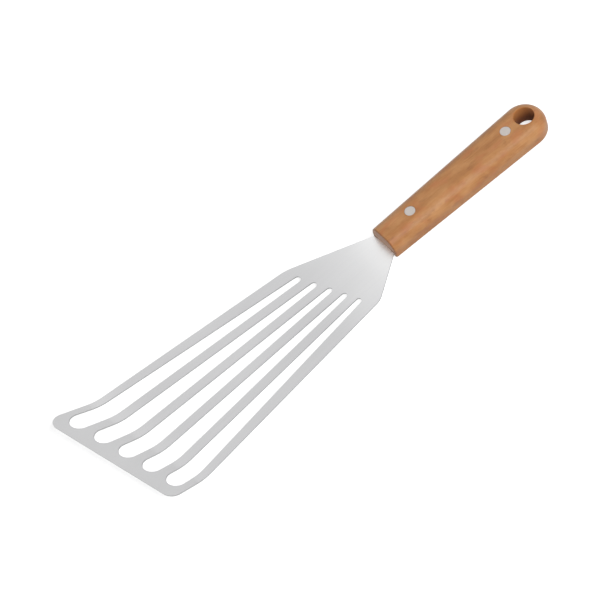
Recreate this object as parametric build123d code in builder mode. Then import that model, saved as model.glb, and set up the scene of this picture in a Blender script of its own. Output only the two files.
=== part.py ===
from build123d import *

import os
from math import acos, asin, atan2, cos, degrees, hypot, radians, sin, tan

os.makedirs("parts", exist_ok=True)

# Fish spatula: a slotted steel blade with a turned-up lip, a one-piece wooden handle and two rivets.
# Millimetres, +Z up. The origin is the centre of the hanging hole, and +X runs from blade to butt.
# The part lies as it rests on a flat surface: on the bend of its lip and on the front of its handle.
# The origin is halfway through the handle, so the sheet's middle plane passes a little below it.
# Distances along the blade are measured forward from the front end of the handle.

# Handle, thicker above the sheet than below it
handle_length = 120.4
handle_front_width = 20.6
handle_butt_width = 26.2
handle_upper_height = 9.5
handle_lower_height = 3.9
handle_upper_radius = 7.7
handle_upper_radius_share = 0.88
handle_lower_radius = 1.5
handle_front_radius = 1.2
hanging_hole_diameter = 12.0
hanging_hole_end_distance = 11.6
hanging_hole_rim_radius = 1.4
hanging_hole_rim_depth = 1.0

# Blade sheet and neck
sheet_thickness = 1.0
neck_side_inset = 1.3
neck_end_clearance = 0.1
left_shoulder_distance = 50.0
left_shoulder_radius = 32.0
right_shoulder_distance = 25.5
right_shoulder_radius = 12.0

# Blade outline, seen square to the sheet
blade_front_width = 92.0
blade_front_distance = 198.0
blade_flare_angle = 6.28
front_slant_angle = 13.4
front_corner_radius = 6.5

# Turned-up lip
lip_length = 25.2
lip_bend_slant_angle = 9.5
lip_bend_radius = 24.0
lip_angle = 25.0

# Fan of slots between tines of even width
slot_count = 5
tine_width = 5.7
outer_tine_front_width = 4.2
fan_apex_distance = 134.0
slot_top_distance = 39.6
slot_top_slant_angle = 21.3
slot_front_margin = 7.0
slot_bottom_slant_angle = 13.9

# Tang inside the handle
tang_width = 12.0
tang_end_radius = 4.0
tang_clearance = 0.05
tang_end_clearance = 0.5
tang_slot_end_wall = 2.0

# Two-part rivets
rivet_front_distance = 22.0
rivet_tang_end_distance = 5.8
rivet_head_diameter = 6.5
rivet_head_thickness = 1.2
rivet_head_edge = 0.15
rivet_head_clearance = 0.03
rivet_sleeve_diameter = 4.6
rivet_post_diameter = 3.0
rivet_post_clearance = 0.01
rivet_hole_clearance = 0.05
rivet_sleeve_gap = 0.4
rivet_post_gap = 0.5

# One overrun for every cut
overrun = 2.0

# Half sizes
half_sheet = sheet_thickness / 2
half_front_width = blade_front_width / 2
half_handle_front = handle_front_width / 2
half_neck = half_handle_front - neck_side_inset

# Places in the handle and along the blade
handle_thickness = handle_upper_height + handle_lower_height
handle_middle_height = (handle_upper_height - handle_lower_height) / 2
hole_distance = handle_length - hanging_hole_end_distance
upper_radius = min(handle_upper_radius, handle_upper_radius_share * half_handle_front)
tang_slot_depth = hole_distance - hanging_hole_diameter / 2 - tang_slot_end_wall
tang_length = tang_slot_depth - tang_end_clearance
rivet_rear_distance = tang_length - rivet_tang_end_distance
lip_bend_distance = blade_front_distance - lip_length
slot_bottom_distance = blade_front_distance - slot_front_margin

# Pitch of the sheet when the bend of the lip and the rounded front of the handle touch the table
lip_tangent_run = lip_bend_radius * tan(radians(lip_angle / 2))
lip_bend_reach = half_front_width * tan(radians(lip_bend_slant_angle))
contact_run = lip_bend_distance + lip_bend_reach - lip_tangent_run + handle_front_radius
contact_rise = lip_bend_radius + handle_lower_height - handle_front_radius
contact_drop = lip_bend_radius + half_sheet - handle_front_radius
rest_pitch = acos(contact_drop / hypot(contact_run, contact_rise)) - atan2(contact_run, contact_rise)

# Middle plane of the sheet, with its origin at the front end of the handle
sheet_x_direction = Vector(cos(rest_pitch), 0, sin(rest_pitch))
sheet_z_direction = Vector(-sin(rest_pitch), 0, cos(rest_pitch))
sheet_origin = -sheet_x_direction * hole_distance - sheet_z_direction * handle_middle_height
sheet = Plane(origin=sheet_origin, x_dir=sheet_x_direction, z_dir=sheet_z_direction)
along = Axis(sheet_origin, sheet_x_direction)
upward = Axis(sheet_origin, sheet_z_direction)


def edge_half_width(distance):
    """Half the width of the blade between its straight outer edges."""
    return half_front_width - (blade_front_distance - distance) * tan(radians(blade_flare_angle))


# Corners of the blade outline
front_rise = tan(radians(front_slant_angle))
flare_rise = tan(radians(blade_flare_angle))
left_corner_width = half_front_width / (1 - front_rise * flare_rise)
right_corner_width = half_front_width / (1 + front_rise * flare_rise)
left_corner = (-(blade_front_distance + left_corner_width * front_rise), left_corner_width)
right_corner = (-(blade_front_distance - right_corner_width * front_rise), -right_corner_width)
left_shoulder = (-left_shoulder_distance, edge_half_width(left_shoulder_distance))
right_shoulder = (-right_shoulder_distance, -edge_half_width(right_shoulder_distance))

# Bent sheet blank: its section square to the bend line, drawn from the bend towards the lip
lip_reach = -left_corner[0] - lip_bend_distance
blank_run = (lip_bend_distance + tang_length + half_front_width) / cos(radians(lip_bend_slant_angle))
lip_run = (lip_reach + overrun) / cos(radians(lip_angle))
bend_location = Pos(-lip_bend_distance, 0, 0) * Rot(Z=180 + lip_bend_slant_angle) * Rot(X=90)
bend_plane = Plane(sheet.location * bend_location)

# Fan of slots: its outer edges run from the fan's apex to the outer tines' width at the slots' ends
fan_reach = fan_apex_distance + slot_bottom_distance
fan_half_width = edge_half_width(slot_bottom_distance) - outer_tine_front_width
fan_half_angle = atan2(fan_half_width, fan_reach) + asin(tine_width / 2 / hypot(fan_reach, fan_half_width))
slot_pitch = 2 * fan_half_angle / slot_count

# Slot wedges: tines of even width leave wedges whose own apex lies nearer than the fan's
half_pitch = slot_pitch / 2
wedge_apex_distance = tine_width / 2 / sin(half_pitch)


def slot_circle(line_distance, line_slant_angle, slot_angle, outward):
    """Centre and radius of the circle that ends a slot on a slanted line across the blade.

    outward is 1 where the circle's far side touches the line and -1 where its near side does.
    """
    slope = cos(slot_angle) - sin(slot_angle) * tan(radians(line_slant_angle))
    tip_run = (fan_apex_distance + line_distance) / slope
    centre_run = (tip_run + outward * wedge_apex_distance * sin(half_pitch)) / (1 + outward * sin(half_pitch))
    radius = (centre_run - wedge_apex_distance) * sin(half_pitch)
    centre = (fan_apex_distance - centre_run * cos(slot_angle), centre_run * sin(slot_angle))
    return centre, radius


# Blade
with BuildPart() as blade:
    with BuildSketch(bend_plane) as section:
        with BuildLine():
            lower_flat = Line((-blank_run, -half_sheet), (-lip_tangent_run, -half_sheet))
            lower_bend = JernArc(lower_flat @ 1, lower_flat % 1, lip_bend_radius + half_sheet, lip_angle)
            lower_lip = PolarLine(lower_bend @ 1, lip_run, lip_angle)
            upper_flat = Line((-blank_run, half_sheet), (-lip_tangent_run, half_sheet))
            upper_bend = JernArc(upper_flat @ 1, upper_flat % 1, lip_bend_radius - half_sheet, lip_angle)
            upper_lip = PolarLine(upper_bend @ 1, lip_run, lip_angle)
            Line(lower_lip @ 1, upper_lip @ 1)
            Line(lower_flat @ 0, upper_flat @ 0)
        make_face()
    extrude(amount=blade_front_width, both=True)
    with BuildSketch(sheet) as outline:
        with BuildLine():
            Polyline(
                (-neck_end_clearance, half_neck),
                left_shoulder,
                left_corner,
                right_corner,
                right_shoulder,
                (-neck_end_clearance, -half_neck),
                close=True,
            )
        make_face()
        corners = outline.vertices().sort_by(Axis.X)
        fillet(corners[0:2], front_corner_radius)
        fillet(outline.vertices().sort_by_distance(left_shoulder)[0], left_shoulder_radius)
        fillet(outline.vertices().sort_by_distance(right_shoulder)[0], right_shoulder_radius)
    extrude(amount=blade_front_width, both=True, mode=Mode.INTERSECT)
    with BuildSketch(sheet.offset(-half_sheet)) as tang:
        with BuildLine():
            Polyline(
                (-overrun, tang_width / 2),
                (tang_length, tang_width / 2),
                (tang_length, -tang_width / 2),
                (-overrun, -tang_width / 2),
                close=True,
            )
        make_face()
        fillet(tang.vertices().group_by(Axis.X)[-1], tang_end_radius)
    extrude(amount=sheet_thickness)
    with BuildSketch(sheet) as slots:
        for slot in range(slot_count):
            angle = (slot - (slot_count - 1) / 2) * slot_pitch
            top_centre, top_radius = slot_circle(slot_top_distance, slot_top_slant_angle, angle, -1)
            bottom_centre, bottom_radius = slot_circle(slot_bottom_distance, slot_bottom_slant_angle, angle, 1)
            with BuildSketch(mode=Mode.PRIVATE) as slot_shape:
                with BuildLine():
                    CenterArc(top_centre, top_radius, 0, 360)
                    CenterArc(bottom_centre, bottom_radius, 0, 360)
                make_hull()
            add(slot_shape.sketch)
    extrude(amount=blade_front_width, both=True, mode=Mode.SUBTRACT)
    with BuildSketch(sheet) as tang_holes:
        with Locations((rivet_front_distance, 0), (rivet_rear_distance, 0)):
            Circle(rivet_sleeve_diameter / 2 + rivet_hole_clearance)
    extrude(amount=handle_thickness, both=True, mode=Mode.SUBTRACT)
blade.part.label = "blade"

# Seats of the rivet heads, sunk in the upper and the lower face
upper_seat = handle_upper_height - rivet_head_thickness
lower_seat = rivet_head_thickness - handle_lower_height

# Plan of the handle: straight sides from the front corners that meet the round butt at a tangent
butt_radius = handle_butt_width / 2
butt_centre_distance = handle_length - butt_radius
side_reach = hypot(butt_centre_distance, half_handle_front)
butt_half_sweep = degrees(atan2(half_handle_front, -butt_centre_distance) - acos(butt_radius / side_reach))

# Section of the hanging hole: a straight wall that flares into a rounded rim at either face
hole_plane = Plane(sheet.location * Pos(hole_distance, 0, 0) * Rot(X=90))
hole_cut_height = handle_thickness + overrun
rim_centre_distance = hanging_hole_diameter / 2 + hanging_hole_rim_radius
upper_rim_centre = (rim_centre_distance, handle_upper_height - hanging_hole_rim_depth)
lower_rim_centre = (rim_centre_distance, hanging_hole_rim_depth - handle_lower_height)
upper_rim = CenterArc(upper_rim_centre, hanging_hole_rim_radius, 90, 90)
lower_rim = CenterArc(lower_rim_centre, hanging_hole_rim_radius, 180, 90)

# Handle
with BuildPart() as handle:
    with BuildSketch(sheet.offset(-handle_lower_height)) as plan:
        with BuildLine():
            butt = CenterArc((butt_centre_distance, 0), butt_radius, -butt_half_sweep, 2 * butt_half_sweep)
            Polyline(butt @ 1, (0, half_handle_front), (0, -half_handle_front), butt @ 0)
        make_face()
    extrude(amount=handle_thickness)
    front_rim = handle.faces().sort_by(along)[0].edges()
    fillet(handle.faces().sort_by(upward)[-1].edges() - front_rim, upper_radius)
    fillet(handle.faces().sort_by(upward)[0].edges() - front_rim, handle_lower_radius)
    fillet(handle.faces().sort_by(along)[0].edges(), handle_front_radius)
    with BuildSketch(hole_plane) as hanging_hole:
        with BuildLine():
            Line((0, -hole_cut_height), (rim_centre_distance, -hole_cut_height))
            Line((rim_centre_distance, -hole_cut_height), lower_rim @ 1)
            add(lower_rim)
            Line(lower_rim @ 0, upper_rim @ 1)
            add(upper_rim)
            Line(upper_rim @ 0, (rim_centre_distance, hole_cut_height))
            Line((rim_centre_distance, hole_cut_height), (0, hole_cut_height))
            Line((0, hole_cut_height), (0, -hole_cut_height))
        make_face()
    revolve(axis=Axis(hole_plane.origin, hole_plane.y_dir), mode=Mode.SUBTRACT)
    with BuildSketch(sheet.offset(-half_sheet - tang_clearance)) as tang_slot:
        with Locations(((tang_slot_depth - overrun) / 2, 0)):
            Rectangle(tang_slot_depth + overrun, tang_width + 2 * tang_clearance)
    extrude(amount=sheet_thickness + 2 * tang_clearance, mode=Mode.SUBTRACT)
    with BuildSketch(sheet) as rivet_holes:
        with Locations((rivet_front_distance, 0), (rivet_rear_distance, 0)):
            Circle(rivet_sleeve_diameter / 2 + rivet_hole_clearance)
    extrude(amount=handle_thickness, both=True, mode=Mode.SUBTRACT)
    with BuildSketch(sheet.offset(upper_seat)) as upper_recesses:
        with Locations((rivet_front_distance, 0), (rivet_rear_distance, 0)):
            Circle(rivet_head_diameter / 2 + rivet_head_clearance)
    extrude(amount=rivet_head_thickness + overrun, mode=Mode.SUBTRACT)
    with BuildSketch(sheet.offset(lower_seat)) as lower_recesses:
        with Locations((rivet_front_distance, 0), (rivet_rear_distance, 0)):
            Circle(rivet_head_diameter / 2 + rivet_head_clearance)
    extrude(amount=-rivet_head_thickness - overrun, mode=Mode.SUBTRACT)
handle.part.label = "handle"

# Rivets: each sleeve comes down from the upper face and each post comes up inside it
sleeve_end = lower_seat + rivet_sleeve_gap
post_end = upper_seat - rivet_post_gap
bore_radius = rivet_post_diameter / 2 + rivet_post_clearance

with BuildPart() as front_rivet_sleeve:
    with BuildSketch(sheet.offset(upper_seat)):
        with Locations((rivet_front_distance, 0)):
            Circle(rivet_head_diameter / 2)
    extrude(amount=rivet_head_thickness)
    chamfer(front_rivet_sleeve.faces().sort_by(upward)[-1].edges(), rivet_head_edge)
    with BuildSketch(sheet.offset(sleeve_end)):
        with Locations((rivet_front_distance, 0)):
            Circle(rivet_sleeve_diameter / 2)
            Circle(bore_radius, mode=Mode.SUBTRACT)
    extrude(amount=upper_seat - sleeve_end)
front_rivet_sleeve.part.label = "front_rivet_sleeve"

with BuildPart() as front_rivet_post:
    with BuildSketch(sheet.offset(-handle_lower_height)):
        with Locations((rivet_front_distance, 0)):
            Circle(rivet_head_diameter / 2)
    extrude(amount=rivet_head_thickness)
    chamfer(front_rivet_post.faces().sort_by(upward)[0].edges(), rivet_head_edge)
    with BuildSketch(sheet.offset(lower_seat)):
        with Locations((rivet_front_distance, 0)):
            Circle(rivet_post_diameter / 2)
    extrude(amount=post_end - lower_seat)
front_rivet_post.part.label = "front_rivet_post"

with BuildPart() as rear_rivet_sleeve:
    with BuildSketch(sheet.offset(upper_seat)):
        with Locations((rivet_rear_distance, 0)):
            Circle(rivet_head_diameter / 2)
    extrude(amount=rivet_head_thickness)
    chamfer(rear_rivet_sleeve.faces().sort_by(upward)[-1].edges(), rivet_head_edge)
    with BuildSketch(sheet.offset(sleeve_end)):
        with Locations((rivet_rear_distance, 0)):
            Circle(rivet_sleeve_diameter / 2)
            Circle(bore_radius, mode=Mode.SUBTRACT)
    extrude(amount=upper_seat - sleeve_end)
rear_rivet_sleeve.part.label = "rear_rivet_sleeve"

with BuildPart() as rear_rivet_post:
    with BuildSketch(sheet.offset(-handle_lower_height)):
        with Locations((rivet_rear_distance, 0)):
            Circle(rivet_head_diameter / 2)
    extrude(amount=rivet_head_thickness)
    chamfer(rear_rivet_post.faces().sort_by(upward)[0].edges(), rivet_head_edge)
    with BuildSketch(sheet.offset(lower_seat)):
        with Locations((rivet_rear_distance, 0)):
            Circle(rivet_post_diameter / 2)
    extrude(amount=post_end - lower_seat)
rear_rivet_post.part.label = "rear_rivet_post"

print("Pitch of the sheet at rest, degrees:", round(degrees(rest_pitch), 4))

export_step(blade.part, "parts/blade.step")
export_step(handle.part, "parts/handle.step")
export_step(front_rivet_sleeve.part, "parts/front_rivet_sleeve.step")
export_step(front_rivet_post.part, "parts/front_rivet_post.step")
export_step(rear_rivet_sleeve.part, "parts/rear_rivet_sleeve.step")
export_step(rear_rivet_post.part, "parts/rear_rivet_post.step")
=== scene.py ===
"""Fish spatula: makes the punched blade, dresses the solids and sets the photograph's view and light.

Metres throughout. +X runs from the blade to the butt, +Y to the blade's left side, +Z up.
"""

import logging
import math
from dataclasses import dataclass, field
from enum import Enum
from typing import Any, Iterable, Sequence

import bmesh
import bpy
from mathutils import Matrix, Vector


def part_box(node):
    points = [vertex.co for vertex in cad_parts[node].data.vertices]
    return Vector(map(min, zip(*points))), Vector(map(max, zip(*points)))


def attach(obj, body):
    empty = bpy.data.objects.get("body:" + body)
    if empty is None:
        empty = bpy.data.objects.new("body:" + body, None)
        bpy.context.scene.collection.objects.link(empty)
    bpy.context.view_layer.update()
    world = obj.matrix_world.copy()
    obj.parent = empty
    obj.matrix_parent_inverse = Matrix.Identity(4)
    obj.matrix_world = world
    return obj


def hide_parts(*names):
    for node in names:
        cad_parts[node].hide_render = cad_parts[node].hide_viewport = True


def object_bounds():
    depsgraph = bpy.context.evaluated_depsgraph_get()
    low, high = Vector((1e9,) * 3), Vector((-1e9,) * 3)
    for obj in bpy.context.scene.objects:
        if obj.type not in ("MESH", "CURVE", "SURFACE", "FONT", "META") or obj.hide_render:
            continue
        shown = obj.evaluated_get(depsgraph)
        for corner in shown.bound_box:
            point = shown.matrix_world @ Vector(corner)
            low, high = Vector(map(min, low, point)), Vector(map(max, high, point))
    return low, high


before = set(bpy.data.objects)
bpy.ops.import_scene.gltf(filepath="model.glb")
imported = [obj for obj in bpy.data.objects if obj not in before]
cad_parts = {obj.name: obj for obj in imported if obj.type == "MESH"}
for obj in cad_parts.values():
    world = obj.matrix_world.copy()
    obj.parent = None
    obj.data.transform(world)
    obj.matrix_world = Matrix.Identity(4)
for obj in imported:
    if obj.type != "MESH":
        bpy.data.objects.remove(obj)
cad_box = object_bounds()

log = logging.getLogger("fish_spatula")

Colour = tuple[float, float, float]
Point2 = tuple[float, float]
Span = tuple[float, float]
Given = dict[Any, Any]
MM = 0.001
WHITE: Colour = (1.0, 1.0, 1.0)


class Slot(Enum):
    """The record's material slots."""

    BLADE = "blade_steel"
    WOOD = "handle_wood"
    RIVET = "rivet_steel"


class Side(Enum):
    """The two long sides of the blade, seen from above with the lip ahead."""

    LEFT = 1
    RIGHT = -1


def tone(red: int, green: int, blue: int) -> Colour:
    """A display colour from 0 to 255 as the shader's linear colour, by the usual display curve.

    Args:
        red: The red part.
        green: The green part.
        blue: The blue part.

    Returns:
        The three linear parts, from 0 to 1.
    """
    parts = [part / 255 for part in (red, green, blue)]
    return tuple(p / 12.92 if p <= 0.04045 else ((p + 0.055) / 1.055) ** 2.4 for p in parts)


@dataclass(frozen=True)
class Pattern:
    """A noise pattern: its waves per metre along X, Y and Z, its finer layers and their weight.

    The shift is a number that gives another pattern.
    """

    scale: tuple[float, float, float]
    detail: float = 2.0
    roughness: float = 0.5
    shift: float = 0.0


# ---------------------------------------------------------------- node trees


class Value:
    """A number that runs through a node tree, with Python's operators."""

    def __init__(self, graph: "Graph", socket: bpy.types.NodeSocket) -> None:
        """Keep the tree and the socket that the number comes from."""
        self.graph = graph
        self.socket = socket

    def _math(self, operation: str, *inputs: Any) -> "Value":
        """A Math node's result.

        Args:
            operation: The Math node's operation.
            inputs: Its values, in the order of its sockets.

        Returns:
            The result as another value.
        """
        node = self.graph.add("ShaderNodeMath", {"operation": operation}, dict(enumerate(inputs)))
        return Value(self.graph, node.outputs[0])

    def __add__(self, other: Any) -> "Value":
        """The sum."""
        return self._math("ADD", self, other)

    def __radd__(self, other: Any) -> "Value":
        """The sum, with the number first."""
        return self._math("ADD", other, self)

    def __sub__(self, other: Any) -> "Value":
        """The difference."""
        return self._math("SUBTRACT", self, other)

    def __rsub__(self, other: Any) -> "Value":
        """The difference, with the number first."""
        return self._math("SUBTRACT", other, self)

    def __mul__(self, other: Any) -> "Value":
        """The product."""
        return self._math("MULTIPLY", self, other)

    def __rmul__(self, other: Any) -> "Value":
        """The product, with the number first."""
        return self._math("MULTIPLY", other, self)

    def __truediv__(self, other: Any) -> "Value":
        """The quotient."""
        return self._math("DIVIDE", self, other)

    def __rtruediv__(self, other: Any) -> "Value":
        """The quotient, with the number first."""
        return self._math("DIVIDE", other, self)

    def __neg__(self) -> "Value":
        """The value with its sign turned."""
        return self._math("MULTIPLY", self, -1.0)

    def __gt__(self, other: Any) -> "Value":
        """1 where the value is above the other, and 0 elsewhere."""
        return self._math("GREATER_THAN", self, other)

    def __abs__(self) -> "Value":
        """The value without its sign."""
        return self._math("ABSOLUTE", self)

    def sine(self) -> "Value":
        """The sine of an angle in radians."""
        return self._math("SINE", self)

    def cosine(self) -> "Value":
        """The cosine of an angle in radians."""
        return self._math("COSINE", self)

    def tangent(self) -> "Value":
        """The tangent of an angle in radians."""
        return self._math("TANGENT", self)

    def root(self) -> "Value":
        """The square root."""
        return self._math("SQRT", self)

    def least(self, other: Any) -> "Value":
        """The smaller of two values."""
        return self._math("MINIMUM", self, other)

    def most(self, other: Any) -> "Value":
        """The larger of two values."""
        return self._math("MAXIMUM", self, other)

    def step(self, low: float, high: float) -> "Value":
        """A smooth step.

        Args:
            low: The value at which the step leaves 0.
            high: The value at which it reaches 1, which may be below low.

        Returns:
            The step, from 0 to 1.
        """
        settings = {"interpolation_type": "SMOOTHSTEP", "clamp": True}
        sockets = {"Value": self, "From Min": low, "From Max": high, "To Min": 0.0, "To Max": 1.0}
        return Value(self.graph, self.graph.add("ShaderNodeMapRange", settings, sockets).outputs[0])

    def pick(self, low: Any, high: Any) -> Any:
        """One of two values by this one, which is 0 or 1 or lies between them.

        Args:
            low: The value where this one is 0.
            high: The value where this one is 1.

        Returns:
            The value between the two.
        """
        return low + (high - low) * self


class Graph:
    """A shader or geometry tree, and the one way in which its nodes are made."""

    def __init__(self, tree: bpy.types.NodeTree) -> None:
        """Keep the tree that the nodes are added to."""
        self.tree = tree

    def add(self, kind: str, settings: Given | None = None, sockets: Given | None = None) -> bpy.types.Node:
        """Make a node: its settings first, then the values or links of its sockets.

        Args:
            kind: The node's type.
            settings: Its own settings. "stops" holds a colour ramp's places and colours.
            sockets: Values, Value objects or sockets, by the input's name or number.

        Returns:
            The node.
        """
        node = self.tree.nodes.new(kind)
        for name, setting in (settings or {}).items():
            if name == "stops":
                self._set_stops(node.color_ramp, setting)
            else:
                setattr(node, name, setting)
        for name, given in (sockets or {}).items():
            self.feed(node.inputs[name], given)
        return node

    def feed(self, socket: bpy.types.NodeSocket, given: Any) -> None:
        """Link a socket or set its value.

        Args:
            socket: The input.
            given: A Value or a socket to link, or a plain value to set.
        """
        if isinstance(given, Value):
            self.tree.links.new(given.socket, socket)
        elif isinstance(given, bpy.types.NodeSocket):
            self.tree.links.new(given, socket)
        elif isinstance(given, tuple) and len(given) == 3 and socket.type == "RGBA":
            socket.default_value = (*given, 1.0)
        else:
            socket.default_value = given

    @staticmethod
    def _set_stops(ramp: bpy.types.ColorRamp, stops: Sequence[tuple[float, Colour]]) -> None:
        """Give a colour ramp its stops, in rising order.

        Args:
            ramp: The ramp.
            stops: Each stop's place, from 0 to 1, and its colour.
        """
        while len(ramp.elements) < len(stops):
            ramp.elements.new(1.0)
        for element, (place, colour) in zip(ramp.elements, stops):
            element.position = place
            element.color = (*colour, 1.0)

    def value(self, kind: str, output: Any = 0, settings: Given | None = None, sockets: Given | None = None) -> Value:
        """Make a node and keep one of its outputs as a value.

        Args:
            kind: The node's type.
            output: The output's name or number.
            settings: Its own settings.
            sockets: The values or links of its sockets.

        Returns:
            The output as a value.
        """
        return Value(self, self.add(kind, settings, sockets).outputs[output])

    def split(self, vector: Any) -> tuple[Value, Value, Value]:
        """The three parts of a vector."""
        node = self.add("ShaderNodeSeparateXYZ", None, {0: vector})
        return tuple(Value(self, output) for output in node.outputs)

    def join(self, x: Any, y: Any, z: Any) -> bpy.types.NodeSocket:
        """A vector from its three parts."""
        return self.add("ShaderNodeCombineXYZ", None, {0: x, 1: y, 2: z}).outputs[0]

    def vector(self, operation: str, *inputs: Any) -> bpy.types.NodeSocket:
        """A Vector Math node's vector."""
        return self.add("ShaderNodeVectorMath", {"operation": operation}, dict(enumerate(inputs))).outputs[0]

    def rays(self) -> tuple[Value, Value]:
        """The kinds of rays that arrive.

        Returns:
            1 for the rays on which the camera sees, and 1 for those that gloss sends back.
        """
        rays = self.add("ShaderNodeLightPath").outputs
        seen = Value(self, rays["Is Camera Ray"]).most(Value(self, rays["Is Transmission Ray"]))
        return seen, Value(self, rays["Is Glossy Ray"])


class Shader(Graph):
    """A material's tree, with the patterns that the finishes share."""

    def __init__(self, name: str) -> None:
        """Start an empty material with its output.

        Args:
            name: The material's name.
        """
        self.material = bpy.data.materials.new(name)
        self.material.use_nodes = True
        super().__init__(self.material.node_tree)
        self.tree.nodes.clear()
        self.output = self.add("ShaderNodeOutputMaterial")

    def place(self) -> bpy.types.NodeSocket:
        """The surface's place on the part."""
        return self.add("ShaderNodeTexCoord").outputs["Object"]

    def facing(self) -> bpy.types.NodeSocket:
        """The surface's own direction."""
        return self.add("ShaderNodeNewGeometry").outputs["Normal"]

    def noise(self, place: Any, pattern: Pattern) -> Value:
        """A noise pattern from 0 to 1, stretched along each axis.

        Args:
            place: The vector that it is read at.
            pattern: Its scale, detail and shift.

        Returns:
            The noise.
        """
        stretched = self.vector("MULTIPLY", place, pattern.scale)
        moved = self.vector("ADD", stretched, (pattern.shift,) * 3)
        sockets = {"Vector": moved, "Scale": 1.0, "Detail": pattern.detail, "Roughness": pattern.roughness}
        return self.value("ShaderNodeTexNoise", 0, None, sockets)

    def ramp(self, factor: Value, stops: Sequence[tuple[float, Colour]]) -> bpy.types.NodeSocket:
        """A colour read from a ramp."""
        return self.add("ShaderNodeValToRGB", {"stops": stops}, {0: factor}).outputs[0]

    def mix(self, factor: Any, first: Any, second: Any) -> bpy.types.NodeSocket:
        """Two colours mixed.

        Args:
            factor: The share of the second colour.
            first: The first colour.
            second: The second colour.

        Returns:
            The mixed colour.
        """
        node = self.add("ShaderNodeMix", {"data_type": "RGBA"})
        for number, given in ((0, factor), (6, first), (7, second)):
            self.feed(node.inputs[number], given)
        return node.outputs[2]

    def bump(self, height: Value, depth: float) -> bpy.types.NodeSocket:
        """A surface direction that follows a height.

        Args:
            height: The height, from 0 to 1.
            depth: The height of 1, in metres.

        Returns:
            The direction.
        """
        return self.add("ShaderNodeBump", None, {"Strength": 1.0, "Distance": depth, "Height": height}).outputs[0]

    def surface(self, sockets: dict[str, Any]) -> bpy.types.Material:
        """Finish the material with a Principled shader.

        Args:
            sockets: The values or links of the shader's sockets, by name.

        Returns:
            The finished material.
        """
        shader = self.add("ShaderNodeBsdfPrincipled", None, sockets)
        self.feed(self.output.inputs["Surface"], shader.outputs[0])
        return self.material


# ---------------------------------------------------------------- finishes


@dataclass(frozen=True)
class SatinSheet:
    """Satin stainless sheet: long fine brush lines, soft clouds, darker sheared edges, and painted light that
    lightens the neck, the sheet by the handle and the lip.

    Spans are the two places or values between which a tone fades in, and gains say how much it adds.
    """

    name: str = "satin_sheet_steel"
    bright: Colour = tone(250, 250, 250)
    plain: Colour = tone(204, 204, 205)
    edge: Colour = tone(186, 186, 187)
    lines: Pattern = Pattern((14, 2600, 900), 3.0, 0.6)
    coarse: Pattern = Pattern((22, 520, 300), 2.0, 0.5, 7.0)
    cloud: Pattern = Pattern((16, 26, 26), 2.0, 0.5, 3.0)
    flat_span: Span = (0.7, 0.97)
    # Painted light: the neck and the sheet by the handle are lightened as a painted reflection, which also lifts the
    # shade and dark reflection that the handle throws on the blade.
    neck_span: Span = (-172 * MM, -98 * MM)
    neck_painted_light_gain: float = 0.54
    handle_span: Span = (-130 * MM, -107 * MM)
    handle_painted_light_gain: float = 0.24
    # Painted light: the lip is lightened to make up for the darker sky that it reflects.
    lip_span: Span = (-262 * MM, -290 * MM)
    lip_painted_light_gain: float = 0.15
    brightness: float = 0.05
    cloud_gain: float = 0.28
    line_gain: float = 0.18
    roughness: float = 0.36
    line_roughness: float = 0.14
    cloud_roughness: float = 0.06
    edge_roughness: float = 0.16
    line_share: float = 0.6
    line_depth: float = 0.012 * MM

    def material(self) -> bpy.types.Material:
        """Build the material.

        Returns:
            The finished material.
        """
        sheet = Shader(self.name)
        place = sheet.place()
        x, _, _ = sheet.split(place)
        _, _, upright = sheet.split(sheet.facing())
        lines, coarse, cloud = (sheet.noise(place, pattern) for pattern in (self.lines, self.coarse, self.cloud))
        flat = abs(upright).step(*self.flat_span)
        # Painted light: the neck, the sheet by the handle and the lip are lightened.
        neck = x.step(*self.neck_span) * self.neck_painted_light_gain + x.step(*self.handle_span) * self.handle_painted_light_gain
        lip = x.step(*self.lip_span) * self.lip_painted_light_gain
        clouds, brushed = cloud - 0.5, lines - 0.5
        brightness = neck + lip + clouds * self.cloud_gain + brushed * self.line_gain + self.brightness
        colour = sheet.mix(flat, self.edge, sheet.mix(brightness, self.plain, self.bright))
        roughness = self.roughness + brushed * self.line_roughness + clouds * self.cloud_roughness
        return sheet.surface({
            "Base Color": colour,
            "Metallic": 1.0,
            "Roughness": roughness + (1 - flat) * self.edge_roughness,
            "Normal": sheet.bump(lines * self.line_share + coarse * (1 - self.line_share), self.line_depth),
        })


@dataclass(frozen=True)
class TurnedSteel:
    """Satin rivet steel, turned in fine rings round the rivet's own axis."""

    stations: tuple[float, ...]
    name: str = "turned_rivet_steel"
    bright: Colour = tone(214, 207, 202)
    plain: Colour = tone(186, 179, 174)
    ring: Pattern = Pattern((2600, 1, 1))
    cloud: Pattern = Pattern((300, 300, 300), 3.0, 0.6)
    ring_share: float = 0.5
    roughness: float = 0.42
    cloud_roughness: float = 0.2
    ring_depth: float = 0.010 * MM

    def material(self) -> bpy.types.Material:
        """Build the material.

        Returns:
            The finished material.
        """
        steel = Shader(self.name)
        place = steel.place()
        x, y, _ = steel.split(place)
        offsets = [abs(x - station) for station in self.stations]
        along = offsets[0]
        for offset in offsets[1:]:
            along = along.least(offset)
        radius = (along * along + y * y).root()
        ring = steel.noise(steel.join(radius, 0.0, 0.0), self.ring)
        cloud = steel.noise(place, self.cloud)
        mixed = ring * self.ring_share + cloud * (1 - self.ring_share)
        return steel.surface({
            "Base Color": steel.mix(mixed, self.plain, self.bright),
            "Metallic": 1.0,
            "Roughness": self.roughness + (cloud - 0.5) * self.cloud_roughness,
            "Normal": steel.bump(ring, self.ring_depth),
        })


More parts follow.
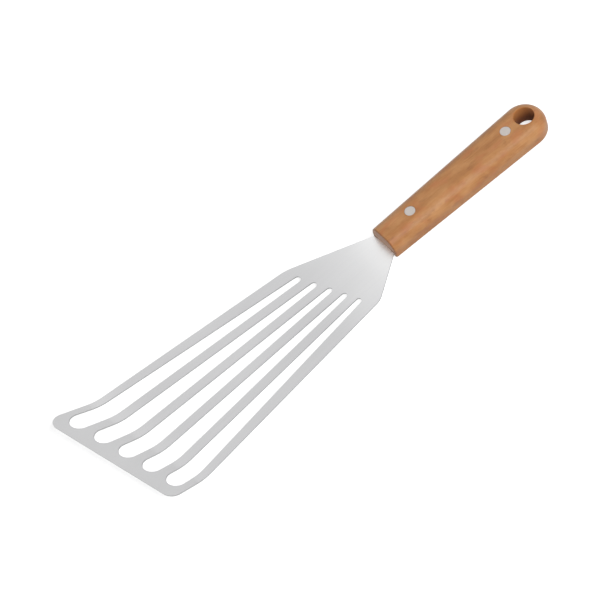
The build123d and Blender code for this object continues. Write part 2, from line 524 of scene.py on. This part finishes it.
@dataclass(frozen=True)
class OiledWood:
    """Oiled reddish-brown wood: figure along the handle, end grain lightened with painted light at its front, painted
    shade on its sides, a darker rounding round the front end, and a hole whose wall has painted light near its top
    and painted shade deeper down.

    Shares say how much of a tone or pattern goes in, and spans between which values it fades in.
    """

    name: str = "oiled_handle_wood"
    pale: Colour = tone(205, 150, 98)
    warm: Colour = tone(183, 126, 74)
    brown: Colour = tone(160, 102, 57)
    dark: Colour = tone(118, 64, 36)
    red: Colour = tone(188, 113, 70)
    # The end grain's tone is lightened as painted light on the front face, which faces away from the lamp.
    end_grain_with_painted_light: Colour = tone(186, 142, 114)
    # The hole's wall: raw wood lightened as painted light near its top, and a dark tone painted as shade that deepens
    # downwards.
    raw_wood_with_painted_light: Colour = tone(198, 130, 72)
    hole_shade_tone: Colour = tone(100, 46, 15)

    sway: Pattern = Pattern((14, 50, 50), 2.0, 0.5, 11.0)
    sway_reach: float = 5.0 * MM
    waver: Pattern = Pattern((70, 220, 220), 2.0, 0.5, 17.0)
    waver_reach: float = 1.2 * MM
    rise: float = 0.6
    heart_aside: float = 31.0 * MM
    heart_below: float = 55.0 * MM

    band: Pattern = Pattern((380, 1, 1), 2.0, 0.55, 2.0)
    band_share: float = 0.08
    streak: Pattern = Pattern((26, 300, 300), 3.0, 0.6, 5.0)
    streak_share: float = 0.17
    fibre: Pattern = Pattern((60, 1500, 1500), 3.0, 0.65, 9.0)
    fibre_share: float = 0.2
    blotch: Pattern = Pattern((60, 110, 110), 3.0, 0.6, 23.0)
    blotch_share: float = 0.55
    figure_span: Span = (0.24, 0.72)
    warm_stop: float = 0.45
    smudge: Pattern = Pattern((80, 230, 230), 4.0, 0.65, 41.0)
    smudge_span: Span = (0.55, 0.74)
    smudge_share: float = 0.34
    pores: Pattern = Pattern((150, 2400, 2400), 2.0, 0.5, 31.0)
    pore_span: Span = (0.64, 0.74)
    pore_share: float = 0.25
    flush: Pattern = Pattern((90, 200, 200), 2.0, 0.5, 53.0)
    flush_span: Span = (0.48, 0.68)
    flush_share: float = 0.4

    # Painted shade: the wood darkens where its surface faces sideways or down.
    side_shade_span: Span = (0.3, -0.35)
    side_shade_share: float = 0.38
    end_span: Span = (0.8, 0.98)
    end_share: float = 0.85
    # Darker on the rounding round the front end.
    front_rounding_span: Span = (0.25, 0.6)
    front_rounding_share: float = 0.4

    # Painted light on the hole's wall near its top, and painted shade that grows deeper down.
    hole_span: Span = (6.45 * MM, 6.0 * MM)
    rim_span: Span = (0.95, 0.4)
    hole_light_share: float = 0.7
    hole_shade_span: Span = (6.5 * MM, -4.0 * MM)
    hole_shade_share: float = 0.88

    roughness: float = 0.37
    fibre_roughness: float = 0.2
    pore_roughness: float = 0.15
    end_roughness: float = 0.12
    hole_roughness: float = 0.3
    gloss: float = 0.5
    relief: tuple[float, float, float] = (0.5, 0.2, 0.3)
    relief_depth: float = 0.05 * MM

    def grain(self, wood: Shader, place: bpy.types.NodeSocket) -> bpy.types.NodeSocket:
        """The place in the log, which sways along the handle.

        Args:
            wood: The material's tree.
            place: The surface's place on the part.

        Returns:
            The swayed place.
        """
        sway = wood.noise(place, self.sway) - 0.5
        waver = wood.noise(place, self.waver) - 0.5
        shift = sway * self.sway_reach + waver * self.waver_reach
        return wood.vector("ADD", place, wood.join(0.0, shift, shift * self.rise))

    def growth(self, wood: Shader, grain: bpy.types.NodeSocket) -> Value:
        """The bands of the growth rings round the heart of the log.

        Args:
            wood: The material's tree.
            grain: The place in the log.

        Returns:
            The bands, from 0 to 1.
        """
        _, y, z = wood.split(grain)
        across, under = y + self.heart_aside, z + self.heart_below
        radius = (across * across + under * under).root()
        return wood.noise(wood.join(radius, 0.0, 0.0), self.band)

    def hole_wall(self, wood: Shader, place: bpy.types.NodeSocket, upright: Value) -> tuple[Value, Value]:
        """The wall of the hanging hole, which is centred on the origin.

        Args:
            wood: The material's tree.
            place: The surface's place on the part.
            upright: How far the surface faces up.

        Returns:
            1 on the wall, and the share of painted shade that grows downwards.
        """
        x, y, z = wood.split(place)
        inside = (x * x + y * y).root().step(*self.hole_span)
        wall = inside * abs(upright).step(*self.rim_span)
        return wall, wall * z.step(*self.hole_shade_span) * self.hole_shade_share

    def material(self) -> bpy.types.Material:
        """Build the material.

        Returns:
            The finished material.
        """
        wood = Shader(self.name)
        place = wood.place()
        ahead, _, upright = wood.split(wood.facing())
        grain = self.grain(wood, place)
        streak, fibre = wood.noise(grain, self.streak), wood.noise(grain, self.fibre)
        blotch = wood.noise(place, self.blotch)
        figure = self.growth(wood, grain) * self.band_share + streak * self.streak_share
        figure = figure + fibre * self.fibre_share + blotch * self.blotch_share
        stops = ((0.0, self.brown), (self.warm_stop, self.warm), (1.0, self.pale))
        smudge = wood.noise(grain, self.smudge).step(*self.smudge_span)
        pores = wood.noise(grain, self.pores).step(*self.pore_span)
        flush = wood.noise(place, self.flush).step(*self.flush_span)
        # Painted shade where the surface faces sideways or down.
        side = upright.step(*self.side_shade_span)
        # The front face: end grain, lightened as painted light.
        end = (-ahead).step(*self.end_span)
        # Darker on the rounding round the front end, beside the end face.
        front_rounding_dark = (-ahead).step(*self.front_rounding_span) * (1 - end)
        # The hole's wall: painted light, and painted shade that deepens downwards.
        wall, painted_hole_shade = self.hole_wall(wood, place, upright)

        colour = wood.ramp(figure.step(*self.figure_span), stops)
        for share, layer in (
            (smudge * self.smudge_share, self.dark),
            (pores * self.pore_share, self.dark),
            (flush * self.flush_share, self.red),
            (side * self.side_shade_share, self.dark),
            (front_rounding_dark * self.front_rounding_share, self.dark),
            (end * self.end_share, self.end_grain_with_painted_light),
            (wall * self.hole_light_share, self.raw_wood_with_painted_light),
            (painted_hole_shade, self.hole_shade_tone),
        ):
            colour = wood.mix(share, colour, layer)

        roughness = self.roughness + (fibre - 0.5) * self.fibre_roughness + pores * self.pore_roughness
        roughness = roughness + end * self.end_roughness + wall * self.hole_roughness
        by_fibre, by_streak, by_pore = self.relief
        height = fibre * by_fibre + streak * by_streak + (1 - pores) * by_pore
        return wood.surface({
            "Base Color": colour,
            "Roughness": roughness,
            "Specular IOR Level": self.gloss,
            "Normal": wood.bump(height, self.relief_depth),
        })


# ---------------------------------------------------------------- shapes


@dataclass(frozen=True)
class RestingSheet:
    """The plane of the flat sheet as the part rests, with its origin at the handle's front end."""

    handle_length: float = 120.4 * MM
    hole_end_distance: float = 11.6 * MM
    upper_height: float = 9.5 * MM
    lower_height: float = 3.9 * MM
    pitch: float = math.radians(1.10295)

    def matrix(self) -> Matrix:
        """The turn and move from the sheet's own axes to the part's.

        Returns:
            The four by four matrix.
        """
        turn = Matrix.Rotation(-self.pitch, 4, "Y")
        hole = self.handle_length - self.hole_end_distance
        middle = (self.upper_height - self.lower_height) / 2
        return turn @ Matrix.Translation((-hole, 0.0, -middle))


@dataclass
class Blade:
    """The stamped sheet: neck, fan of slots, turned-up lip and the tang inside the handle."""

    rest: RestingSheet
    thickness: float = 1.0 * MM
    neck_half_width: float = 9.0 * MM
    neck_end: float = 0.1 * MM
    shoulders: dict[Side, Point2] = field(
        default_factory=lambda: {Side.LEFT: (50.0 * MM, 32.0 * MM), Side.RIGHT: (25.5 * MM, 12.0 * MM)}
    )
    front_width: float = 92.0 * MM
    front_distance: float = 198.0 * MM
    flare: float = math.radians(6.28)
    front_slant: float = math.radians(13.4)
    corner_radius: float = 6.5 * MM
    lip_length: float = 25.2 * MM
    bend_slant: float = math.radians(9.5)
    bend_radius: float = 24.0 * MM
    lip_angle: float = math.radians(25.0)
    bend_steps: int = 14
    slot_count: int = 5
    tine_width: float = 5.7 * MM
    outer_tine_width: float = 4.2 * MM
    fan_apex: float = 134.0 * MM
    slot_top: float = 39.6 * MM
    slot_top_slant: float = math.radians(21.3)
    slot_margin: float = 7.0 * MM
    slot_bottom_slant: float = math.radians(13.9)
    tang_half_width: float = 6.0 * MM
    tang_length: float = 100.3 * MM
    tang_end_radius: float = 4.0 * MM
    rivet_front: float = 22.0 * MM
    rivet_rear: float = 94.5 * MM
    rivet_hole_radius: float = 2.35 * MM
    punch_depth: float = 200.0 * MM
    punch_sides: int = 72
    drill_sides: int = 48
    same_place: float = 0.0001 * MM
    edge_round: float = 0.12 * MM
    edge_steps: int = 2
    edge_angle: float = math.radians(35.0)

    def half_width(self, distance: float) -> float:
        """Half the width between the straight outer edges, at a distance ahead of the handle."""
        return self.front_width / 2 - (self.front_distance - distance) * math.tan(self.flare)

    @staticmethod
    def rounded(corners: Sequence[tuple[Point2, float]], step: float = math.radians(3.0)) -> list[Point2]:
        """A closed outline with its corners rounded.

        Args:
            corners: Each corner's place and radius, in order.
            step: The turn between two points of a rounded corner.

        Returns:
            The outline's points.
        """
        outline: list[Point2] = []
        for index, (place, radius) in enumerate(corners):
            corner = Vector(place)
            if not radius:
                outline.append((corner.x, corner.y))
                continue
            back = (Vector(corners[index - 1][0]) - corner).normalized()
            ahead = (Vector(corners[(index + 1) % len(corners)][0]) - corner).normalized()
            opening = back.angle(ahead)
            centre = corner + (back + ahead).normalized() * (radius / math.sin(opening / 2))
            reach = radius / math.tan(opening / 2)
            start, end = corner + back * reach - centre, corner + ahead * reach - centre
            turn = math.atan2(start.x * end.y - start.y * end.x, start.dot(end))
            count = max(2, math.ceil(abs(turn) / step))
            first = math.atan2(start.y, start.x)
            for number in range(count + 1):
                angle = first + turn * number / count
                outline.append((centre.x + radius * math.cos(angle), centre.y + radius * math.sin(angle)))
        return outline

    def outline(self) -> list[Point2]:
        """The sheet's outline in plan, with its tang.

        Returns:
            The outline's points, on the flat sheet.
        """
        rise, flare = math.tan(self.front_slant), math.tan(self.flare)
        left = self.front_width / 2 / (1 - rise * flare)
        right = self.front_width / 2 / (1 + rise * flare)
        (left_run, left_radius), (right_run, right_radius) = self.shoulders[Side.LEFT], self.shoulders[Side.RIGHT]
        tang = self.tang_half_width
        return self.rounded([
            ((-self.neck_end, self.neck_half_width), 0.0),
            ((-left_run, self.half_width(left_run)), left_radius),
            ((-(self.front_distance + left * rise), left), self.corner_radius),
            ((-(self.front_distance - right * rise), -right), self.corner_radius),
            ((-right_run, -self.half_width(right_run)), right_radius),
            ((-self.neck_end, -self.neck_half_width), 0.0),
            ((-self.neck_end, -tang), 0.0),
            ((self.tang_length, -tang), self.tang_end_radius),
            ((self.tang_length, tang), self.tang_end_radius),
            ((-self.neck_end, tang), 0.0),
        ])

    def bend_run(self, x: float, y: float) -> float:
        """How far a point in plan lies ahead of the line on which the two flats meet."""
        bend = self.front_distance - self.lip_length
        return (-x - bend) * math.cos(self.bend_slant) - y * math.sin(self.bend_slant)

    def bend_start(self) -> float:
        """Where the bend starts, ahead of the line on which the two flats meet."""
        return -self.bend_radius * math.tan(self.lip_angle / 2)

    def face_radius(self, side: float) -> float:
        """The bend's radius on the upper face, for side 1, or on the lower one, for side -1."""
        return self.bend_radius - side * self.thickness / 2

    def height(self, run: float, side: float) -> float:
        """The height of one face of the bent sheet.

        Args:
            run: The distance ahead of the bend line, in plan.
            side: 1 for the upper face and -1 for the lower one.

        Returns:
            The height over the flat sheet's middle plane.
        """
        radius, start = self.face_radius(side), self.bend_start()
        if run <= start:
            return side * self.thickness / 2
        end = start + radius * math.sin(self.lip_angle)
        if run <= end:
            return self.bend_radius - math.sqrt(radius**2 - (run - start) ** 2)
        return self.bend_radius - radius * math.cos(self.lip_angle) + (run - end) * math.tan(self.lip_angle)

    def plan(self) -> bmesh.types.BMesh:
        """The flat outline, cut along the lines at which the bend turns on either face.

        Returns:
            The plan, in the flat sheet's own axes.
        """
        plan = bmesh.new()
        plan.faces.new([plan.verts.new((x, y, 0.0)) for x, y in self.outline()])
        across = Vector((-math.cos(self.bend_slant), -math.sin(self.bend_slant), 0.0))
        start = self.bend_start()
        runs = [start]
        for side in (1, -1):
            turns = (self.lip_angle * step / self.bend_steps for step in range(1, self.bend_steps + 1))
            runs += [start + self.face_radius(side) * math.sin(turn) for turn in turns]
        bend = Vector((-(self.front_distance - self.lip_length), 0.0, 0.0))
        for run in sorted(runs):
            geometry = plan.verts[:] + plan.edges[:] + plan.faces[:]
            line = bend + across * run
            bmesh.ops.bisect_plane(plan, geom=geometry, plane_co=line, plane_no=across, dist=self.same_place)
        plan.verts.index_update()
        return plan

    def bent_sheet(self) -> bpy.types.Mesh:
        """The bent sheet as a closed mesh, before its slots are cut.

        Returns:
            The mesh, in the flat sheet's own axes.
        """
        plan, solid = self.plan(), bmesh.new()
        faces: dict[float, dict[int, bmesh.types.BMVert]] = {}
        for side in (1.0, -1.0):
            faces[side] = {}
            for v in plan.verts:
                height = self.height(self.bend_run(v.co.x, v.co.y), side)
                faces[side][v.index] = solid.verts.new((v.co.x, v.co.y, height))
        for face in plan.faces:
            order = [v.index for v in face.verts]
            for side in (1.0, -1.0):
                solid.faces.new([faces[side][i] for i in (order if side > 0 else reversed(order))])
        for edge in plan.edges:
            if edge.is_boundary:
                a, b = (v.index for v in edge.verts)
                solid.faces.new([faces[1.0][a], faces[1.0][b], faces[-1.0][b], faces[-1.0][a]])
        bmesh.ops.recalc_face_normals(solid, faces=solid.faces[:])
        mesh = bpy.data.meshes.new("bent_sheet")
        solid.to_mesh(mesh)
        plan.free()
        solid.free()
        return mesh

    def slot_pitch(self) -> float:
        """The pitch of the fan, which leaves the outer tines their width at the slots' front ends.

        Returns:
            The angle from one slot's middle line to the next.
        """
        bottom = self.front_distance - self.slot_margin
        reach, half = self.fan_apex + bottom, self.half_width(bottom) - self.outer_tine_width
        tine = math.asin(self.tine_width / 2 / math.hypot(reach, half))
        return 2 * (math.atan2(half, reach) + tine) / self.slot_count

    def punch_tree(self, finish: bpy.types.Material) -> bpy.types.NodeTree:
        """A geometry tree that punches the fan of slots and the rivet holes.

        Args:
            finish: The material of the whole sheet.

        Returns:
            The tree.
        """
        tree = bpy.data.node_groups.new("punched_sheet", "GeometryNodeTree")
        tree.interface.new_socket("Geometry", in_out="INPUT", socket_type="NodeSocketGeometry")
        for name, kind in self.punch_inputs():
            tree.interface.new_socket(name, in_out="INPUT", socket_type=kind)
        tree.interface.new_socket("Geometry", in_out="OUTPUT", socket_type="NodeSocketGeometry")
        punch = Graph(tree)
        given = punch.add("NodeGroupInput").outputs
        size = {name: Value(punch, given[name]) for name, _ in self.punch_inputs()}
        bars, drills = self.slot_bars(punch, size), self.rivet_drills(punch, size)
        tools = punch.add("GeometryNodeJoinGeometry", None, {0: bars})
        punch.feed(tools.inputs[0], drills)

        difference = {"operation": "DIFFERENCE", "solver": "EXACT"}
        cut = punch.add("GeometryNodeMeshBoolean", difference, {0: given["Geometry"], 1: tools.outputs[0]}).outputs[0]
        whole = punch.add("GeometryNodeRealizeInstances", None, {0: cut}).outputs[0]
        dressed = punch.add("GeometryNodeSetMaterial", None, {"Geometry": whole, "Material": finish}).outputs[0]
        punch.add("NodeGroupOutput", None, {0: dressed})
        return tree

    def slot_bars(self, punch: Graph, size: dict[str, Value]) -> bpy.types.NodeSocket:
        """The punches of the fan of slots.

        Each punch is a round bar of many sides. Its sides ahead of the slot's tangent points go to
        the round front end of the slot, and the others to the round top end.

        Args:
            punch: The tree.
            size: Its named inputs.

        Returns:
            The punches.
        """
        half = size["Slot pitch"] * 0.5
        spread = half.sine()
        apex = size["Fan apex distance"]
        wedge = size["Tine width"] * 0.5 / spread

        spots = {"Count": size["Slot count"], "Offset": (0.0, 0.0, 0.0)}
        points = punch.add("GeometryNodeMeshLine", {"mode": "OFFSET"}, spots).outputs[0]
        number = punch.add("GeometryNodeInputIndex").outputs[0]
        numbered = {"Geometry": points, "Name": "slot_number", "Value": number}
        each = {"data_type": "FLOAT", "domain": "POINT"}
        points = punch.add("GeometryNodeStoreNamedAttribute", each, numbered).outputs[0]
        bars = self.bars(punch, points, self.punch_sides, 1.0)

        number = punch.value("GeometryNodeInputNamedAttribute", 0, {"data_type": "FLOAT"}, {"Name": "slot_number"})
        lean = (number - (size["Slot count"] - 1) * 0.5) * size["Slot pitch"]
        ahead, beside = lean.cosine(), lean.sine()
        tip = (apex + size["Slot top distance"]) / (ahead - beside * size["Slot top slant"].tangent())
        top_run = (tip - wedge * spread) / (1 - spread)
        tip = (apex + size["Slot bottom distance"]) / (ahead - beside * size["Slot bottom slant"].tangent())
        front_run = (tip + wedge * spread) / (1 + spread)
        x, y, z = punch.split(punch.add("GeometryNodeInputPosition").outputs[0])
        at_front = x > -spread
        run = at_front.pick(top_run, front_run)
        radius = (run - wedge) * spread
        along, aside = run + radius * x, radius * y
        place = punch.join(apex - along * ahead - aside * beside, along * beside - aside * ahead, z)
        return punch.add("GeometryNodeSetPosition", None, {"Geometry": bars, "Position": place}).outputs[0]

    def rivet_drills(self, punch: Graph, size: dict[str, Value]) -> bpy.types.NodeSocket:
        """The punches of the two rivet holes.

        Args:
            punch: The tree.
            size: Its named inputs.

        Returns:
            The punches.
        """
        start = punch.join(size["Front rivet"], 0.0, 0.0)
        end = punch.join(size["Rear rivet"], 0.0, 0.0)
        rivets = {"Count": 2, "Start Location": start, "Offset": end}
        line = punch.add("GeometryNodeMeshLine", {"mode": "END_POINTS"}, rivets).outputs[0]
        return self.bars(punch, line, self.drill_sides, size["Rivet hole radius"])

    def bars(self, punch: Graph, points: bpy.types.NodeSocket, sides: int, radius: Any) -> bpy.types.NodeSocket:
        """Upright bars on points, as real geometry.

        Args:
            punch: The tree.
            points: The points that they stand on.
            sides: How many sides a bar has.
            radius: Its radius.

        Returns:
            The bars.
        """
        shape = {"Vertices": sides, "Radius": radius, "Depth": self.punch_depth}
        bar = punch.add("GeometryNodeMeshCylinder", {"fill_type": "NGON"}, shape).outputs[0]
        placed = punch.add("GeometryNodeInstanceOnPoints", None, {"Points": points, "Instance": bar}).outputs[0]
        return punch.add("GeometryNodeRealizeInstances", None, {0: placed}).outputs[0]

    @staticmethod
    def punch_inputs() -> Iterable[tuple[str, str]]:
        """The named inputs of the punching tree.

        Yields:
            Each input's name and its socket's kind.
        """
        yield "Slot count", "NodeSocketInt"
        for name in (
            "Slot pitch", "Tine width", "Fan apex distance", "Slot top distance", "Slot top slant",
            "Slot bottom distance", "Slot bottom slant", "Front rivet", "Rear rivet", "Rivet hole radius",
        ):
            yield name, "NodeSocketFloat"

    def build(self, finish: bpy.types.Material) -> bpy.types.Object:
        """Build the punched sheet in its place.

        Args:
            finish: Its material.

        Returns:
            The sheet as a plain mesh, in the part's axes.
        """
        blank = bpy.data.objects.new("blade_sheet", self.bent_sheet())
        bpy.context.scene.collection.objects.link(blank)
        modifier = blank.modifiers.new("punch", "NODES")
        modifier.node_group = self.punch_tree(finish)
        sizes = {
            "Slot count": self.slot_count,
            "Slot pitch": self.slot_pitch(),
            "Tine width": self.tine_width,
            "Fan apex distance": self.fan_apex,
            "Slot top distance": self.slot_top,
            "Slot top slant": self.slot_top_slant,
            "Slot bottom distance": self.front_distance - self.slot_margin,
            "Slot bottom slant": self.slot_bottom_slant,
            "Front rivet": self.rivet_front,
            "Rear rivet": self.rivet_rear,
            "Rivet hole radius": self.rivet_hole_radius,
        }
        for item in modifier.node_group.interface.items_tree:
            if item.in_out == "INPUT" and item.name in sizes:
                modifier[item.identifier] = sizes[item.name]
        bake(blank)
        blank.data.transform(self.rest.matrix())
        bevel = blank.modifiers.new("rounded_edges", "BEVEL")
        bevel.width, bevel.segments = self.edge_round, self.edge_steps
        bevel.limit_method, bevel.angle_limit = "ANGLE", self.edge_angle
        blank.modifiers.new("even_shading", "WEIGHTED_NORMAL").keep_sharp = True
        blank.data.shade_smooth()
        bake(blank)
        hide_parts("blade")
        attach(blank, "root")
        return blank


def bake(piece: bpy.types.Object) -> None:
    """Turn a piece's modifiers into a plain mesh and remove them.

    Args:
        piece: The piece.
    """
    bpy.context.view_layer.update()
    evaluated = piece.evaluated_get(bpy.context.evaluated_depsgraph_get())
    plain = bpy.data.meshes.new_from_object(evaluated)
    piece.modifiers.clear()
    piece.data = plain


@dataclass
class Handle:
    """The one-piece wooden handle, which keeps its solid."""

    node: str = "handle"

    def dress(self, finish: bpy.types.Material) -> bpy.types.Object:
        """Give the handle its wood.

        Args:
            finish: The wood.

        Returns:
            The handle.
        """
        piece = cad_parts[self.node]
        dress(piece, finish)
        return piece


@dataclass
class Rivets:
    """The two compression rivets, whose halves keep their solids."""

    nodes: tuple[str, ...] = ("front_rivet_sleeve", "front_rivet_post", "rear_rivet_sleeve", "rear_rivet_post")

    def stations(self) -> tuple[float, ...]:
        """Where the rivets sit, read from the solids of their sleeves.

        Returns:
            The place of each rivet along the part.
        """
        places = []
        for node in self.nodes[::2]:
            low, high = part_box(node)
            places.append((low.x + high.x) / 2)
        return tuple(places)

    def dress(self, finish: bpy.types.Material) -> list[bpy.types.Object]:
        """Give every half its steel.

        Args:
            finish: The steel.

        Returns:
            The halves.
        """
        halves = [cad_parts[node] for node in self.nodes]
        for half in halves:
            dress(half, finish)
        return halves


def dress(piece: bpy.types.Object, finish: bpy.types.Material) -> None:
    """Put one finish in every material slot of a piece.

    Args:
        piece: The piece.
        finish: Its finish.
    """
    if not piece.material_slots:
        piece.data.materials.append(finish)
    for place in piece.material_slots:
        place.material = finish


# ---------------------------------------------------------------- studio


@dataclass(frozen=True)
class Softbox:
    """A soft square lamp that faces the part.

    It hangs in the direction towards, as far away as away, with its power in watts and the side of
    its face as width. Glossy says whether it shows in glossy surfaces.
    """

    name: str
    power: float
    glossy: bool
    towards: tuple[float, float, float] = (0.18, -0.62, 0.76)
    width: float = 700.0 * MM
    away: float = 1200.0 * MM

    def hang(self, aim: Vector) -> bpy.types.Object:
        """Hang the lamp.

        Args:
            aim: The point that it faces.

        Returns:
            The lamp.
        """
        light = bpy.data.lights.new(self.name, "AREA")
        light.shape, light.size, light.energy = "SQUARE", self.width, self.power
        lamp = bpy.data.objects.new(self.name, light)
        direction = Vector(self.towards).normalized()
        lamp.location = aim + direction * self.away
        lamp.rotation_mode = "QUATERNION"
        lamp.rotation_quaternion = direction.to_track_quat("Z", "Y")
        lamp.visible_glossy = self.glossy
        bpy.context.scene.collection.objects.link(lamp)
        return lamp


@dataclass
class Studio:
    """The pale floor, the soft lamps and the camera.

    Strengths are those of the light that the camera sees, that glossy surfaces show and that
    falls on the part.
    """

    rest: RestingSheet
    floor_height: float
    elevation: float = math.radians(53.967)
    azimuth: float = math.radians(-17.864)
    roll: float = math.radians(-25.308)
    aside: float = 47.595 * MM
    upwards: float = 31.241 * MM
    distance: float = 1410.65 * MM
    lens: float = 150.0
    sensor: float = 36.0
    clip: Span = (50.0 * MM, 20000.0 * MM)
    floor_size: float = 6000.0 * MM
    floor_tone: float = 0.62
    floor_shown: float = 0.72
    floor_shine: float = 0.45
    sky_shown: float = 1.0
    sky_light: float = 0.34
    horizon_span: Span = (0.02, 0.36)
    horizon_shine: float = 0.5
    lamps: tuple[Softbox, ...] = (Softbox("right_softbox", 6.0, False), Softbox("right_sheen", 4.8, True))
    lamp_aim: float = -150.0 * MM

    def camera(self) -> bpy.types.Object:
        """Place the camera at the photograph's viewpoint.

        Returns:
            The camera.
        """
        right = Vector((math.cos(self.azimuth), math.sin(self.azimuth), 0.0))
        level = Vector((-math.sin(self.azimuth), math.cos(self.azimuth), 0.0))
        over = level * math.sin(self.elevation) + Vector((0.0, 0.0, math.cos(self.elevation)))
        back = -level * math.cos(self.elevation) + Vector((0.0, 0.0, math.sin(self.elevation)))
        c, s = math.cos(self.roll), math.sin(self.roll)
        turned, risen = right * c + over * s, over * c - right * s
        place = -turned * self.aside - risen * self.upwards + back * self.distance
        pose = Matrix((turned, risen, back)).transposed().to_4x4()
        pose.translation = place
        lens = bpy.data.cameras.new("camera")
        lens.lens, lens.sensor_width = self.lens, self.sensor
        lens.clip_start, lens.clip_end = self.clip
        camera = bpy.data.objects.new("camera", lens)
        camera.matrix_world = self.rest.matrix() @ pose
        bpy.context.scene.collection.objects.link(camera)
        bpy.context.scene.camera = camera
        return camera

    def floor(self) -> bpy.types.Object:
        """Lay the floor under the part.

        Returns:
            The floor.
        """
        plane = bmesh.new()
        bmesh.ops.create_grid(plane, x_segments=1, y_segments=1, size=self.floor_size)
        mesh = bpy.data.meshes.new("floor")
        plane.to_mesh(mesh)
        plane.free()
        mesh.transform(Matrix.Translation((0.0, 0.0, self.floor_height)))
        floor = bpy.data.objects.new("floor", mesh)
        bpy.context.scene.collection.objects.link(floor)
        mesh.materials.append(self.floor_finish())
        return floor

    def floor_finish(self) -> bpy.types.Material:
        """Build the floor's finish: matt, with a glow of its own for the camera and for gloss.

        Returns:
            The finished material.
        """
        ground = Shader("pale_floor")
        shown, shine = ground.rays()
        strength = shown * self.floor_shown + shine * self.floor_shine
        matt = ground.add("ShaderNodeBsdfDiffuse", None, {"Color": (self.floor_tone,) * 3})
        glow = ground.add("ShaderNodeEmission", None, {"Color": WHITE, "Strength": strength})
        mixed = ground.add("ShaderNodeAddShader", None, {0: matt.outputs[0], 1: glow.outputs[0]})
        ground.feed(ground.output.inputs["Surface"], mixed.outputs[0])
        return ground.material

    def sky(self) -> None:
        """Surround the part with soft white light."""
        world = bpy.data.worlds.new("soft_white")
        world.use_nodes = True
        bpy.context.scene.world = world
        sky = Graph(world.node_tree)
        world.node_tree.nodes.clear()
        seen, glossy = sky.rays()
        _, _, rise = sky.split(sky.add("ShaderNodeTexCoord").outputs["Generated"])
        shine = rise.step(*self.horizon_span).pick(self.horizon_shine, 1.0)
        strength = (seen * self.sky_shown).most(glossy * shine).most(self.sky_light)
        light = sky.add("ShaderNodeBackground", None, {"Color": WHITE, "Strength": strength})
        sky.add("ShaderNodeOutputWorld", None, {"Surface": light.outputs[0]})

    def build(self) -> None:
        """Set up the floor, the light and the camera."""
        self.camera()
        self.floor()
        self.sky()
        for lamp in self.lamps:
            lamp.hang(Vector((self.lamp_aim, 0.0, 0.0)))
        bpy.context.scene.view_settings.view_transform = "Standard"


def main() -> None:
    """Build and dress every piece, then set the studio."""
    logging.basicConfig(level=logging.INFO, format="%(name)s: %(message)s")
    rest = RestingSheet()
    blade = Blade(rest).build(SatinSheet().material())
    log.info("%s: %d faces", blade.name, len(blade.data.polygons))
    handle = Handle().dress(OiledWood().material())
    log.info("%s: %d faces", handle.name, len(handle.data.polygons))
    rivets = Rivets()
    for half in rivets.dress(TurnedSteel(stations=rivets.stations()).material()):
        log.info("%s: %d faces", half.name, len(half.data.polygons))
    Studio(rest, cad_box[0].z).build()


if __name__ == "__main__":
    main()
